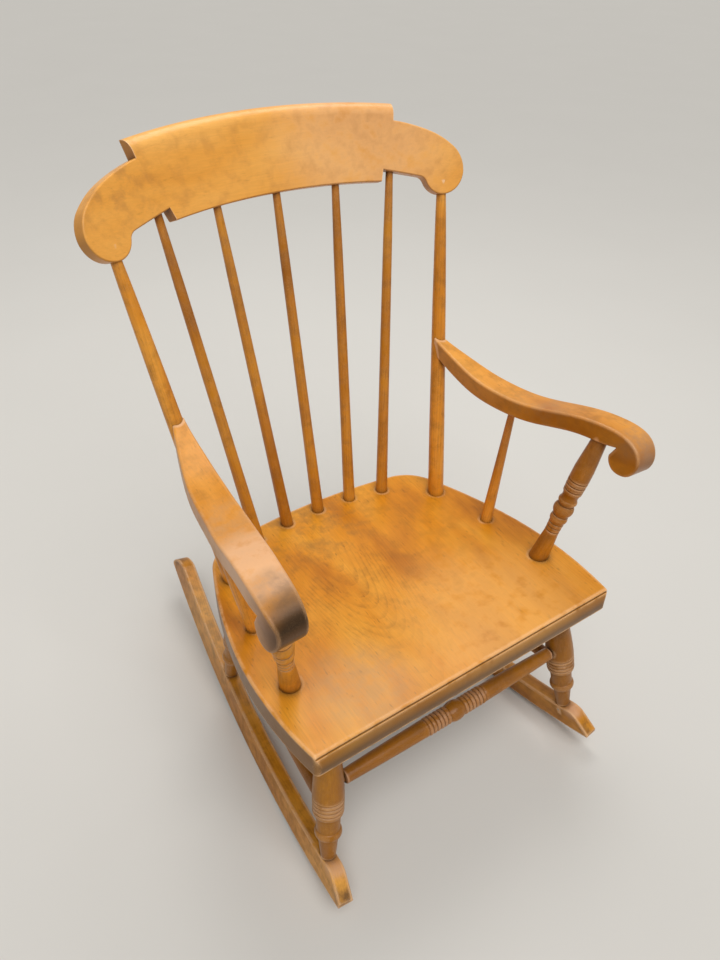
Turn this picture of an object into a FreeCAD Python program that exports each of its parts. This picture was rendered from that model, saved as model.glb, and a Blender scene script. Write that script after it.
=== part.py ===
import FreeCAD, Part
import math
import os

import Sketcher
from FreeCAD import Placement, Rotation, Vector

# Child's rocking chair with a scrolled crest rail on two posts and five spindles, scrolled arms,
# a plank seat with a moulded front edge, ring-turned legs and sawn rockers.
# Frame: origin on the floor, midway between the rocker ends; +Z up, front towards -Y and +X to the
# right as seen from the front. Millimetres and degrees. Every "setback" is measured from the front
# edge of the seat, every "half span" from the plane of symmetry.

doc = FreeCAD.newDocument("rocking_chair")
sheet = doc.addObject("Spreadsheet::Sheet", "sizes")

driving = {
    # seat plank
    "seatHeight": 270.7,
    "seatWidth": 449,
    "seatFrontWidth": 430,
    "seatWaistWidth": 436,
    "seatDepth": 356,
    "seatThickness": 32,
    "seatPitch": 1,
    "seatCornerRadius": 7,
    "seatTopRound": 2.4,
    "seatUnderRound": 3,
    "seatDishRadius": 152,
    "seatDishDepth": 4.5,
    "seatDishSetback": 168,
    "mouldingStep": 3.2,
    "mouldingLip": 4.2,
    "mouldingNoseRadius": 60,
    "mouldingNoseDrop": 19,
    # rockers
    "rockerRun": 597,
    "rockerNoseReach": 42.7,
    "rockerHalfSpan": 181.3,
    "rockerThickness": 19,
    "rockerDepth": 37.4,
    "rockerNoseDepth": 35.8,
    "rockerTailDepth": 45.4,
    "rockerNoseLength": 36.7,
    "rockerTailLength": 46.8,
    "rockerNoseTip": 5.2,
    "rockerTailTip": 5.8,
    "rockerArcRadius": 970,
    "rockerContactSetback": 205.5,
    "rockerToeIn": 6.4,
    "rockerLean": 7.6,
    "rockerEdgeRound": 1.3,
    # turned legs
    "frontFootSetback": 8.3,
    "frontLegHalfSpan": 173.5,
    "frontLegSetback": 42.7,
    "rearFootSetback": 318,
    "rearLegHalfSpan": 143,
    "rearLegSetback": 285,
    "legFootDiameter": 17.6,
    "legAnkleDiameter": 24.4,
    "legBeadDiameter": 32.4,
    "legNeckDiameter": 28,
    "legRingDiameter": 37.2,
    "legTopDiameter": 28.8,
    "legSeatDepth": 17,
    "legFootTenon": 11,
    "legFootDepth": 16,
    "ringGrooveWidth": 2.6,
    "ringGrooveDepth": 1.1,
    # stretchers
    "frontStretcherHeight": 160,
    "rearStretcherHeight": 161.7,
    "sideStretcherHeight": 126.5,
    "frontStretcherBulb": 25.4,
    "frontStretcherBulbLength": 22,
    "frontStretcherRing": 22.8,
    "frontStretcherNeck": 19.8,
    "frontStretcherRingPitch": 5.6,
    "frontStretcherSwell": 21.6,
    "frontStretcherEnd": 16.8,
    "plainStretcherDiameter": 19.4,
    "plainStretcherEnd": 15.6,
    "stretcherTenon": 10,
    "stretcherAxisGap": 6,
    "stretcherShoulderGap": 1.4,
    "stretcherShoulderRound": 1.6,
    # back posts
    "postHalfSpan": 163.4,
    "postSetback": 278.1,
    "postTopHalfSpan": 209.5,
    "postFootDiameter": 22,
    "postArmDiameter": 18.8,
    "postTopDiameter": 12.2,
    "postSeatDepth": 20,
    "postCrestDepth": 17,
    # back spindles
    "spindleHalfSpan": 101,
    "spindleInnerHalfSpan": 51,
    "spindleCentreSetback": 337,
    "spindleInnerSetback": 334.5,
    "spindleOuterSetback": 325,
    "spindleTopHalfSpan": 149,
    "spindleInnerTopHalfSpan": 77,
    "spindleFootDiameter": 16.4,
    "spindleMiddleDiameter": 13,
    "spindleTopDiameter": 9,
    "spindleSeatDepth": 16,
    "spindleCrestDepth": 13,
    # crest rail
    "crestRise": 443,
    "crestSetback": 427.4,
    "crestTilt": 23,
    "crestBendRadius": 747,
    "crestThickness": 17,
    "crestCrownHeight": 56.4,
    "crestTipHeight": 40,
    "crestTipHalfSpan": 166,
    "crestStepHeight": 20,
    "crestStepHalfSpan": 162,
    "crestEarHalfSpan": 241,
    "crestEarDrop": 74.3,
    "crestNeckHalfSpan": 188,
    "crestNeckDrop": 51,
    "crestNotchHalfSpan": 138,
    "crestNotchDrop": 32.5,
    "crestTongueDrop": 45.5,
    "crestMiddleDrop": 35.5,
    "crestRoll": 14.5,
    "crestEdgeRound": 1.8,
    # arms
    "armNoseSetback": 10.4,
    "armTopRise": 212.5,
    "armFall": 52.1,
    "armThickness": 23.6,
    "armBackRise": 197,
    "armBackWidth": 17,
    "armFrontWidth": 36,
    "armOuterHalfSpan": 250,
    "armRoll": 4.5,
    "armEdgeRound": 2.6,
    # arm posts
    "armPostHalfSpan": 188.5,
    "armPostSetback": 96.2,
    "armPostTopHalfSpan": 220.5,
    "armPostTopSetback": 69,
    "armPostTopRise": 190.5,
    "armPostFootDiameter": 24.4,
    "armPostWaistDiameter": 18.5,
    "armPostBeadDiameter": 23.6,
    "armPostBulbDiameter": 26,
    "armPostTopDiameter": 18,
    "armPostSeatDepth": 17,
    "armPostArmDepth": 10,
    # arm spindles
    "armSpindleHalfSpan": 182,
    "armSpindleSetback": 190.7,
    "armSpindleTopHalfSpan": 214.9,
    "armSpindleTopSetback": 204.4,
    "armSpindleTopRise": 162,
    "armSpindleFootDiameter": 15.8,
    "armSpindleTopDiameter": 8.8,
    "armSpindleSeatDepth": 16,
    "armSpindleArmDepth": 9,
    # hidden fasteners
    "screwDiameter": 4,
    "screwHeadDiameter": 7.4,
    "screwHeadLength": 2.8,
    "screwLength": 36,
    "plugDiameter": 8,
    "plugLength": 3.6,
    "bradDiameter": 2,
    "bradHeadDiameter": 3.2,
    "bradHeadLength": 1,
    "bradLength": 14,
    # fits
    "glueGap": 0.1,
    "endGap": 0.4,
    "cutOverrun": 6,
}
for row, (alias, number) in enumerate(driving.items(), start=1):
    sheet.set("A%d" % row, alias)
    sheet.set("B%d" % row, str(number))
    sheet.setAlias("B%d" % row, alias)
doc.recompute()


class Sized:
    # A length that knows its value and the expression over the sheet that gives it.
    def __init__(self, value, text):
        self.value = value
        self.text = text

    def __add__(self, other):
        return Sized(self.value + other.value, "(%s + %s)" % (self.text, other.text))

    def __sub__(self, other):
        return Sized(self.value - other.value, "(%s - %s)" % (self.text, other.text))

    def __mul__(self, share):
        return Sized(self.value * share, "(%s * (%.9g))" % (self.text, share))

    def __neg__(self):
        return self * -1


size = {alias: Sized(float(sheet.get(alias)), "sizes." + alias) for alias in driving}
value = {alias: length.value for alias, length in size.items()}
nothing = Sized(0, "0")
overrun = size["cutOverrun"]
pieces = {}


# Places in the chair

seatFront = value["rockerNoseReach"] - value["rockerRun"] / 2
seatSlope = math.tan(math.radians(value["seatPitch"]))


def seatTop(setback):
    return value["seatHeight"] - seatSlope * setback


def onSeat(side, halfSpan, setback):
    return Vector(side * value[halfSpan], seatFront + value[setback], seatTop(value[setback]))


def underSeat(side, halfSpan, setback):
    drop = value["seatThickness"] / math.cos(math.radians(value["seatPitch"]))
    return onSeat(side, halfSpan, setback) - Vector(0, 0, drop)


def overSeat(side, halfSpan, setback, rise):
    height = value["seatHeight"] + value[rise]
    return Vector(side * value[halfSpan], seatFront + value[setback], height)


def along(start, end, reach):
    return start + (end - start).normalize() * reach


def atHeight(start, end, height):
    share = (height - start.z) / (end.z - start.z)
    return start + (end - start) * share


def facing(start, end):
    return Rotation(Vector(0, 0, 1), end - start)


# Sketches

def circleThrough(start, through, end):
    circle = Part.Arc(Vector(*start, 0), Vector(*through, 0), Vector(*end, 0)).toShape().Curve
    centre = circle.Center
    radius = circle.Radius
    angles = [math.atan2(point[1] - centre.y, point[0] - centre.x) for point in (start, through, end)]
    turn = 2 * math.pi
    forwards = (angles[1] - angles[0]) % turn < (angles[2] - angles[0]) % turn
    first, last = (angles[0], angles[2]) if forwards else (angles[2], angles[0])
    arc = Part.ArcOfCircle(Part.Circle(centre, Vector(0, 0, 1), radius), first, last)
    return arc, forwards


def pins(geometry, vertex, x, y):
    # Constraints that hold a vertex at x, y, each with the length that drives it.
    held = []
    for kind, length, axis in (("DistanceX", x, -2), ("DistanceY", y, -1)):
        if length.value == 0:
            held.append((Sketcher.Constraint("PointOnObject", geometry, vertex, axis), None))
        else:
            held.append((Sketcher.Constraint(kind, geometry, vertex, length.value), length.text))
    return held


def outline(body, name, plane, points):
    # Closed outline through (x, y) corners; a third entry "arc" marks a point that the curve
    # between its two neighbouring corners passes through.
    sketch = body.newObject("Sketcher::SketchObject", name)
    origin = [feature for feature in body.Origin.OriginFeatures if feature.Role == plane][0]
    sketch.AttachmentSupport = [(origin, "")]
    sketch.MapMode = "FlatFace"
    corners = [index for index, point in enumerate(points) if len(point) == 2]
    edges = []
    guides = []
    ends = []
    constraints = []
    for order, index in enumerate(corners):
        following = corners[(order + 1) % len(corners)]
        start, end = points[index], points[following]
        between = (index + 1) % len(points)
        place = (start[0].value, start[1].value)
        far = (end[0].value, end[1].value)
        if between == following:
            edges.append(Part.LineSegment(Vector(*place, 0), Vector(*far, 0)))
            ends.append((order, 1, 2, start))
            continue
        through = points[between]
        near = (through[0].value, through[1].value)
        arc, forwards = circleThrough(place, near, far)
        edges.append(arc)
        ends.append((order, 1, 2, start) if forwards else (order, 2, 1, start))
        guide = len(corners) + len(guides)
        guides.append(Part.Point(Vector(*near, 0)))
        constraints.append((Sketcher.Constraint("PointOnObject", guide, 1, order), None))
        constraints += pins(guide, 1, through[0], through[1])
    for order, (edge, first, last, start) in enumerate(ends):
        following = ends[(order + 1) % len(ends)]
        joint = Sketcher.Constraint("Coincident", edge, last, following[0], following[1])
        constraints.append((joint, None))
        constraints += pins(edge, first, start[0], start[1])
    sketch.addGeometry(edges, False)
    if guides:
        sketch.addGeometry(guides, True)
    sketch.addConstraint([constraint for constraint, text in constraints])
    for index, (constraint, text) in enumerate(constraints):
        if text:
            sketch.setExpression("Constraints[%d]" % index, text)
    return sketch


def turned(name, start, end, rows):
    # Turned piece from start to end; rows of (station, diameter, kind), the first and last rows
    # are the ends of the piece.
    body = doc.addObject("PartDesign::Body", name + "_turning")
    points = [(nothing, rows[0][0])]
    for station, diameter, kind in rows:
        radius = diameter * 0.5
        if kind == "groove":
            half = size["ringGrooveWidth"] * 0.5
            points.append((radius, station - half))
            points.append((radius - size["ringGrooveDepth"], station, "arc"))
            points.append((radius, station + half))
        elif kind == "arc":
            points.append((radius, station, "arc"))
        else:
            points.append((radius, station))
    points.append((nothing, rows[-1][0]))
    sketch = outline(body, name + "_profile", "XZ_Plane", points)
    turning = body.newObject("PartDesign::Revolution", name + "_revolution")
    turning.Profile = sketch
    turning.ReferenceAxis = (sketch, ["V_Axis"])
    turning.Angle = 360
    body.Placement = Placement(start, facing(start, end))
    return body


runs = {}


def distance(name, start, end):
    # The distance between two places, kept in the sheet as a length of its own.
    row = len(driving) + len(runs) + 1
    alias = name + "Run"
    runs[alias] = (end - start).Length
    sheet.set("A%d" % row, alias)
    sheet.set("B%d" % row, "%.6f" % runs[alias])
    sheet.setAlias("B%d" % row, alias)
    return Sized(float("%.6f" % runs[alias]), "sizes." + alias)


def tableRows(run, offset, shares):
    rows = []
    for station, diameter, part, kind in shares:
        place = offset + run * station if station else offset
        rows.append((place, size[diameter] * part if part != 1 else size[diameter], kind))
    return rows


# Cuts

def drill(name, start, end, diameter, margin):
    # A round cutter from start to end.
    cutter = doc.addObject("Part::Cylinder", name)
    cutter.setExpression("Radius", "(%s) / 2 + %s" % (diameter.text, margin.text))
    cutter.Height = (end - start).Length
    cutter.Placement = Placement(start, facing(start, end))
    return cutter


def less(name, base, cutters):
    if not cutters:
        base.Label = name
        pieces[name] = base
        return base
    tool = cutters[0]
    if len(cutters) > 1:
        tool = doc.addObject("Part::MultiFuse", name + "_cutters")
        tool.Shapes = cutters
    cut = doc.addObject("Part::Cut", name)
    cut.Base = base
    cut.Tool = tool
    pieces[name] = cut
    return cut


def socket(name, start, end, depth, diameter):
    # The hole for a piece that leaves start towards end and reaches back by depth.
    inner = along(start, end, -value[depth] - value["endGap"])
    return drill(name, inner, along(start, end, value["cutOverrun"]), diameter, size["glueGap"])


def member(name, start, end, startDepth, endDepth, shares, startTenon=None, endTenon=None):
    # Turned piece whose bare length runs from start to end, with its hidden ends beyond them.
    run = distance(name, start, end)
    rows = tableRows(run, size[startDepth], shares)
    lower = size[startTenon] if startTenon else rows[0][1]
    upper = size[endTenon] if endTenon else rows[-1][1]
    whole = size[startDepth] + run + size[endDepth]
    rows = [(nothing, lower, "corner")] + shoulder(rows[0], lower) + rows
    rows = rows + shoulder(rows[-1], upper) + [(whole, upper, "corner")]
    return turned(name, along(start, end, -value[startDepth]), end, rows)


def shoulder(row, tenon):
    if tenon.text == row[1].text:
        return []
    return [(row[0], tenon, "corner")]


# Rockers

toeIn = math.radians(value["rockerToeIn"])
lean = math.radians(value["rockerLean"])


def arcRise(radius, reach):
    # Height of an arc of this radius above its lowest point, at this distance along it.
    rise = radius.value - math.sqrt(radius.value ** 2 - reach.value ** 2)
    return Sized(rise, "(%s - sqrt(%s^2 - (%s)^2))" % (radius.text, radius.text, reach.text))


def rockerAxes(side):
    forwards = Vector(-side * math.sin(toeIn), math.cos(toeIn), 0)
    inwards = math.sin(lean)
    upwards = Vector(-side * inwards * math.cos(toeIn), -inwards * math.sin(toeIn), math.cos(lean))
    return forwards, upwards


def onRocker(side, station, height, outwards=0):
    # Place on a rocker's middle plane, by its distance behind the floor contact and its height up
    # the board, or beside that plane.
    forwards, upwards = rockerAxes(side)
    contact = Vector(side * value["rockerHalfSpan"], seatFront + value["rockerContactSetback"], 0)
    across = forwards.cross(upwards) * side
    return contact + forwards * station + upwards * height + across * outwards


# Nose and tail from the tip to the shoulder: share of the way along, share of the way up
noseShares = ((0.294, 0.427, "arc"), (0.597, 0.837, "corner"), (0.787, 0.991, "arc"))
tailShares = ((0.36, 0.65, "arc"),)
rockerEdgeShare = 0.45


def between(tip, shoulder, shares):
    rows = []
    for forth, up, kind in shares:
        place = (tip[0] + (shoulder[0] - tip[0]) * forth, tip[1] + (shoulder[1] - tip[1]) * up)
        rows.append(place if kind == "corner" else place + (kind,))
    return rows


def rockerPoints():
    radius = size["rockerArcRadius"]
    halfCorner = size["rockerThickness"] * (0.5 * math.sin(toeIn))
    nose = (size["rockerNoseReach"] + size["rockerContactSetback"] - halfCorner) * (1 / math.cos(toeIn))
    tail = (size["rockerRun"] - size["rockerNoseReach"] - size["rockerContactSetback"] - halfCorner)
    tail = tail * (1 / math.cos(toeIn))
    noseShoulder = nose - size["rockerNoseLength"]
    tailShoulder = tail - size["rockerTailLength"]
    noseTip = (-nose, arcRise(radius, nose) + size["rockerNoseTip"])
    tailTip = (tail, arcRise(radius, tail) + size["rockerTailTip"])
    noseTop = (-noseShoulder, arcRise(radius, noseShoulder) + size["rockerNoseDepth"])
    tailTop = (tailShoulder, arcRise(radius, tailShoulder) + size["rockerTailDepth"])
    front = [(-nose, -overrun), noseTip] + between(noseTip, noseTop, noseShares)
    back = list(reversed(between(tailTip, tailTop, tailShares))) + [tailTip, (tail, -overrun)]
    return front + [noseTop, (nothing, size["rockerDepth"], "arc"), tailTop] + back


def topOfRocker(station):
    # Height of the rocker's top edge over a place along it, from the same three points.
    points = rockerPoints()
    first = len(noseShares) + 2
    ends = [(point[0].value, point[1].value) for point in points[first:first + 3]]
    circle = Part.Arc(*[Vector(x, y, 0) for x, y in ends]).toShape().Curve
    return circle.Center.y - math.sqrt(circle.Radius ** 2 - (station - circle.Center.x) ** 2)


def footOn(side, setback):
    station = (value[setback] - value["rockerContactSetback"]) / math.cos(toeIn)
    return onRocker(side, station, topOfRocker(station))


def makeRocker(side, name, cutters):
    plank = doc.addObject("PartDesign::Body", name + "_plank")
    sketch = outline(plank, name + "_outline", "XY_Plane", rockerPoints())
    pad = plank.newObject("PartDesign::Pad", name + "_pad")
    pad.Profile = sketch
    pad.Midplane = True
    pad.setExpression("Length", size["rockerThickness"].text)
    forwards, upwards = rockerAxes(side)
    turn = Rotation(forwards, upwards, forwards.cross(upwards), "XYZ")
    plank.Placement = Placement(onRocker(side, 0, 0), turn)
    floorArc = doc.addObject("Part::Cylinder", name + "_floor_arc")
    floorArc.setExpression("Radius", size["rockerArcRadius"].text)
    floorArc.setExpression("Height", size["seatWidth"].text)
    contact = seatFront + value["rockerContactSetback"]
    floorArc.Placement = Placement(
        Vector(-value["seatWidth"] / 2, contact, value["rockerArcRadius"]),
        Rotation(Vector(0, 0, 1), Vector(1, 0, 0)))
    trued = doc.addObject("Part::Common", name + "_trued")
    trued.Base = plank
    trued.Tool = floorArc
    doc.recompute()
    softened = rounded(name + "_softened", trued, [("rockerEdgeRound", rockerArris)])
    return less(name, softened, cutters)


def rockerArris(edge):
    across = abs(edge.tangentAt(edge.FirstParameter).x) > math.sqrt(0.5)
    return not across and edge.Length > value["rockerThickness"] * rockerEdgeShare


def rounded(name, base, rounds):
    # A body that takes over a shape and rounds the edges that each rule picks.
    body = doc.addObject("PartDesign::Body", name)
    body.BaseFeature = base
    doc.recompute()
    feature = body.Tip
    for order, (radius, rule) in enumerate(rounds):
        chosen = ["Edge%d" % (index + 1) for index, edge in enumerate(feature.Shape.Edges) if rule(edge)]
        fillet = body.newObject("PartDesign::Fillet", "%s_round_%d" % (name, order))
        fillet.Base = (feature, chosen)
        fillet.setExpression("Radius", size[radius].text)
        doc.recompute()
        feature = fillet
    return body


# Legs and stretchers

legShares = (
    (0.000, "legFootDiameter", 1.00, "corner"),
    (0.100, "legAnkleDiameter", 0.88, "arc"),
    (0.180, "legAnkleDiameter", 1.00, "corner"),
    (0.212, "legBeadDiameter", 1.00, "arc"),
    (0.246, "legNeckDiameter", 1.00, "corner"),
    (0.305, "legNeckDiameter", 1.01, "arc"),
    (0.360, "legNeckDiameter", 1.05, "corner"),
    (0.373, "legRingDiameter", 0.92, "arc"),
    (0.392, "legRingDiameter", 0.98, "corner"),
    (0.4105, "legRingDiameter", 0.99, "groove"),
    (0.4410, "legRingDiameter", 0.99, "groove"),
    (0.4720, "legRingDiameter", 1.00, "groove"),
    (0.5015, "legRingDiameter", 1.00, "groove"),
    (0.533, "legRingDiameter", 1.00, "corner"),
    (0.640, "legTopDiameter", 1.21, "arc"),
    (0.740, "legTopDiameter", 1.09, "corner"),
    (1.000, "legTopDiameter", 1.00, "corner"),
)
plainShares = (
    (0.0, "plainStretcherEnd", 1.00, "corner"),
    (0.5, "plainStretcherDiameter", 1.00, "arc"),
    (1.0, "plainStretcherEnd", 1.00, "corner"),
)
sides = {"left": -1, "right": 1}
legEnds = {
    "front": ("frontFootSetback", "frontLegHalfSpan", "frontLegSetback", "frontStretcherHeight"),
    "rear": ("rearFootSetback", "rearLegHalfSpan", "rearLegSetback", "rearStretcherHeight"),
}


def legAxis(side, end):
    footSetback, halfSpan, setback, _ = legEnds[end]
    return footOn(side, footSetback), underSeat(side, halfSpan, setback)


def onLeg(side, end, height):
    return atHeight(*legAxis(side, end), value[height])


def makeLeg(side, end, name, cutters):
    foot, top = legAxis(side, end)
    turning = member(name, foot, top, "legFootDepth", "legSeatDepth", legShares, startTenon="legFootTenon")
    return less(name, turning, cutters)


def legHole(name, start, end, diameter):
    # The hole in a leg at start for a stretcher that leaves it towards end.
    inner = along(start, end, value["stretcherAxisGap"] - value["endGap"])
    outer = along(start, end, value["legRingDiameter"] / 2 + value["cutOverrun"])
    return drill(name, inner, outer, diameter, size["glueGap"])


def makePlainStretcher(name, start, end):
    gap = size["stretcherAxisGap"]
    run = distance(name, start, end)
    rows = tableRows(run - gap * 2, nothing, plainShares)
    piece = turned(name, along(start, end, gap.value), end, rows)
    return less(name, piece, [])


ringCount = 6
ringShoulderShare = 0.3
swellShares = (0.6, 0.4)


def makeFrontStretcher(name, start, end):
    run = distance(name, start, end)
    gap = size["stretcherAxisGap"]
    tenon = size["stretcherTenon"]
    bevel = size["stretcherShoulderRound"]
    bare = size["legRingDiameter"] * 0.5 + size["stretcherShoulderGap"] - gap
    middle = run * 0.5 - gap
    pitch = size["frontStretcherRingPitch"]
    bulbEdge = size["frontStretcherBulbLength"] * 0.5
    ringsEdge = bulbEdge + pitch * ringCount
    endDiameter = size["frontStretcherEnd"]
    swell = size["frontStretcherSwell"]
    slope = swell * swellShares[0] + endDiameter * swellShares[1]
    half = [
        (bulbEdge, size["frontStretcherNeck"], "corner"),
    ]
    for ring in range(ringCount):
        half.append((bulbEdge + pitch * (ring + 0.5), size["frontStretcherRing"], "arc"))
        half.append((bulbEdge + pitch * (ring + 1), size["frontStretcherNeck"], "corner"))
    half += [
        (ringsEdge + pitch * ringShoulderShare, swell, "corner"),
        ((ringsEdge + middle - bare) * 0.5, slope, "arc"),
        (middle - bare - bevel, endDiameter, "corner"),
        (middle - bare, endDiameter - bevel * 2, "corner"),
        (middle - bare, tenon, "corner"),
        (middle, tenon, "corner"),
    ]
    rows = [(middle - station, diameter, kind) for station, diameter, kind in reversed(half)]
    rows.append((middle, size["frontStretcherBulb"], "arc"))
    rows += [(middle + station, diameter, kind) for station, diameter, kind in half]
    rows[0] = (nothing, tenon, "corner")
    piece = turned(name, along(start, end, gap.value), end, rows)
    return less(name, piece, [])


# Back posts, spindles and arm supports

postShares = (
    (0.000, "postFootDiameter", 1.00, "corner"),
    (0.240, "postFootDiameter", 0.965, "corner"),
    (0.480, "postArmDiameter", 1.02, "corner"),
    (0.690, "postArmDiameter", 0.93, "corner"),
    (0.860, "postTopDiameter", 1.24, "corner"),
    (0.940, "postTopDiameter", 1.12, "corner"),
    (1.000, "postTopDiameter", 1.00, "corner"),
)
spindleShares = (
    (0.000, "spindleFootDiameter", 1.00, "corner"),
    (0.280, "spindleMiddleDiameter", 1.09, "corner"),
    (0.550, "spindleMiddleDiameter", 1.00, "corner"),
    (0.820, "spindleMiddleDiameter", 0.89, "corner"),
    (1.000, "spindleTopDiameter", 1.00, "corner"),
)
spindleDepthShare = 0.56
armSpindleShares = (
    (0.000, "armSpindleFootDiameter", 1.00, "corner"),
    (1.000, "armSpindleTopDiameter", 1.00, "corner"),
)
armPostShares = (
    (0.000, "armPostFootDiameter", 1.00, "corner"),
    (0.100, "armPostFootDiameter", 0.91, "arc"),
    (0.220, "armPostWaistDiameter", 1.00, "corner"),
    (0.245, "armPostWaistDiameter", 1.00, "groove"),
    (0.278, "armPostWaistDiameter", 1.02, "groove"),
    (0.311, "armPostWaistDiameter", 1.05, "groove"),
    (0.325, "armPostWaistDiameter", 1.08, "corner"),
    (0.343, "armPostBeadDiameter", 0.96, "arc"),
    (0.361, "armPostBeadDiameter", 0.89, "corner"),
    (0.3785, "armPostBeadDiameter", 0.88, "groove"),
    (0.390, "armPostBeadDiameter", 0.92, "corner"),
    (0.4245, "armPostBulbDiameter", 1.00, "arc"),
    (0.457, "armPostBulbDiameter", 0.85, "corner"),
    (0.468, "armPostBeadDiameter", 0.89, "groove"),
    (0.478, "armPostBeadDiameter", 0.90, "corner"),
    (0.492, "armPostBeadDiameter", 1.02, "arc"),
    (0.508, "armPostBeadDiameter", 0.92, "corner"),
    (0.536, "armPostBeadDiameter", 0.86, "arc"),
    (0.566, "armPostBeadDiameter", 1.00, "corner"),
    (0.589, "armPostBeadDiameter", 1.02, "groove"),
    (0.628, "armPostBeadDiameter", 1.05, "groove"),
    (0.663, "armPostBeadDiameter", 1.07, "groove"),
    (0.750, "armPostBeadDiameter", 1.06, "corner"),
    (0.880, "armPostTopDiameter", 1.19, "arc"),
    (1.000, "armPostTopDiameter", 1.00, "corner"),
)


# Crest rail: a bent board in coordinates of its own, across, up the board and through it

crestTurn = Rotation(Vector(1, 0, 0), -value["crestTilt"])
crestPlacement = Placement(
    Vector(0, seatFront + value["crestSetback"], value["seatHeight"] + value["crestRise"]),
    crestTurn * Rotation(Vector(1, 0, 0), 90))


def onCrest(across, up, depthShare):
    # Place in the board at a share of its thickness behind its front face.
    bend = value["crestBendRadius"]
    angle = math.asin(across / bend)
    radius = bend + value["crestThickness"] * depthShare
    local = Vector(radius * math.sin(angle), up, bend - radius * math.cos(angle))
    return crestPlacement.multVec(local)


def underCrest(across):
    # Drop of the board's lower edge under its reference line, inside and outside the tongue.
    notch = value["crestNotchHalfSpan"]
    if across < notch:
        deeper = value["crestTongueDrop"] - value["crestMiddleDrop"]
        return value["crestMiddleDrop"] + deeper * (across / notch) ** 2
    slope = (value["crestNeckDrop"] - value["crestNotchDrop"]) / (value["crestNeckHalfSpan"] - notch)
    return value["crestNotchDrop"] + slope * (across - notch)


def spread(across, plane):
    # Half span in a flat plane before or behind the board, so that its ends stay square to the bend.
    bend = size["crestBendRadius"]
    result = across.value * (bend.value - plane.value) / math.sqrt(bend.value ** 2 - across.value ** 2)
    pattern = "(%s) * (%s - (%s)) / sqrt(%s^2 - (%s)^2)"
    return Sized(result, pattern % (across.text, bend.text, plane.text, bend.text, across.text))


# The ear's outline from its neck round to the step: shares of its width beyond the neck and of its
# height above its lowest point
earShares = (
    (0.047, 0.194, "corner"),
    (0.189, 0.056, "arc"),
    (0.472, 0.000, "corner"),
    (0.774, 0.0615, "arc"),
    (0.962, 0.226, "corner"),
    (0.962, 0.408, "arc"),
    (0.817, 0.5705, "corner"),
    (0.587, 0.700, "arc"),
    (0.321, 0.804, "corner"),
    (-0.075, 0.915, "arc"),
)
neckRoundShare = 0.08
neckFlareShare = 0.032
tongueSlantShare = 0.35
edgeShare = 0.9


def crestHalf():
    neck = size["crestNeckHalfSpan"]
    notch = size["crestNotchHalfSpan"]
    earWidth = size["crestEarHalfSpan"] - neck
    earHeight = size["crestStepHeight"] + size["crestEarDrop"]
    tongue = notch - (size["crestTongueDrop"] - size["crestNotchDrop"]) * tongueSlantShare
    points = [
        (tongue, -size["crestTongueDrop"]),
        (notch, -size["crestNotchDrop"]),
        (neck - earWidth * neckRoundShare, earHeight * neckFlareShare - size["crestNeckDrop"]),
        (neck, -size["crestNeckDrop"], "arc"),
    ]
    for outwards, up, kind in earShares:
        point = (neck + earWidth * outwards, earHeight * up - size["crestEarDrop"])
        points.append(point if kind == "corner" else point + (kind,))
    points.append((size["crestStepHalfSpan"], size["crestStepHeight"]))
    points.append((size["crestTipHalfSpan"], size["crestTipHeight"]))
    return points


def crestOutline(plane):
    right = crestHalf()
    left = [(-point[0],) + point[1:] for point in reversed(right)]
    loop = right + [(nothing, size["crestCrownHeight"], "arc")] + left
    loop.append((nothing, -size["crestMiddleDrop"], "arc"))
    return [(spread(point[0], plane),) + point[1:] if point[0].value else point for point in loop]


def makeCrest(name, cutters):
    blank = doc.addObject("PartDesign::Body", name + "_blank")
    bend = size["crestBendRadius"]
    sections = []
    behind = -(size["crestThickness"] + overrun)
    before = arcRise(bend, size["crestEarHalfSpan"]) + overrun
    for label, plane in (("behind", behind), ("before", before)):
        sketch = outline(blank, "%s_%s" % (name, label), "XY_Plane", crestOutline(plane))
        sketch.setExpression("AttachmentOffset.Base.z", plane.text)
        sections.append(sketch)
    loft = blank.newObject("PartDesign::AdditiveLoft", name + "_loft")
    loft.Profile = sections[0]
    loft.Sections = [(sections[1], [""])]
    loft.Ruled = True
    blank.Placement = crestPlacement
    lowest = value["crestEarDrop"] + value["cutOverrun"]
    shells = []
    for label, radius in (("back", bend + size["crestThickness"]), ("front", bend)):
        shell = doc.addObject("Part::Cylinder", "%s_%s_bend" % (name, label))
        shell.setExpression("Radius", radius.text)
        shell.setExpression("Height", "sizes.crestEarDrop + sizes.crestCrownHeight + 2 * sizes.cutOverrun")
        shell.Placement = crestPlacement * Placement(
            Vector(0, -lowest, bend.value), Rotation(Vector(0, 0, 1), Vector(0, 1, 0)))
        shells.append(shell)
    bent = doc.addObject("Part::Cut", name + "_bend")
    bent.Base, bent.Tool = shells
    board = doc.addObject("Part::Common", name + "_board")
    board.Base = blank
    board.Tool = bent
    doc.recompute()
    rounds = [("crestRoll", crestTopArris), ("crestEdgeRound", crestArris)]
    return less(name, rounded(name + "_softened", board, rounds), cutters)


def edgeMiddle(edge):
    return edge.valueAt((edge.FirstParameter + edge.LastParameter) / 2)


def crestTopArris(edge):
    middle = crestPlacement.inverse().multVec(edgeMiddle(edge))
    crown = Vector(0, value["crestCrownHeight"], 0)
    return middle.distanceToPoint(crown) < value["crestEdgeRound"]


def crestArris(edge):
    middle = crestPlacement.inverse().multVec(edgeMiddle(edge))
    bend = value["crestBendRadius"]
    depth = math.hypot(middle.x, bend - middle.z) - bend
    onFace = min(abs(depth), abs(depth - value["crestThickness"])) < value["glueGap"]
    rolled = depth < value["crestThickness"] / 2 and middle.y > value["crestStepHeight"]
    return onFace and not rolled and edge.Length > value["crestThickness"] * edgeShare


# Seat: outline seen from above, from the front right corner to the back

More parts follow.
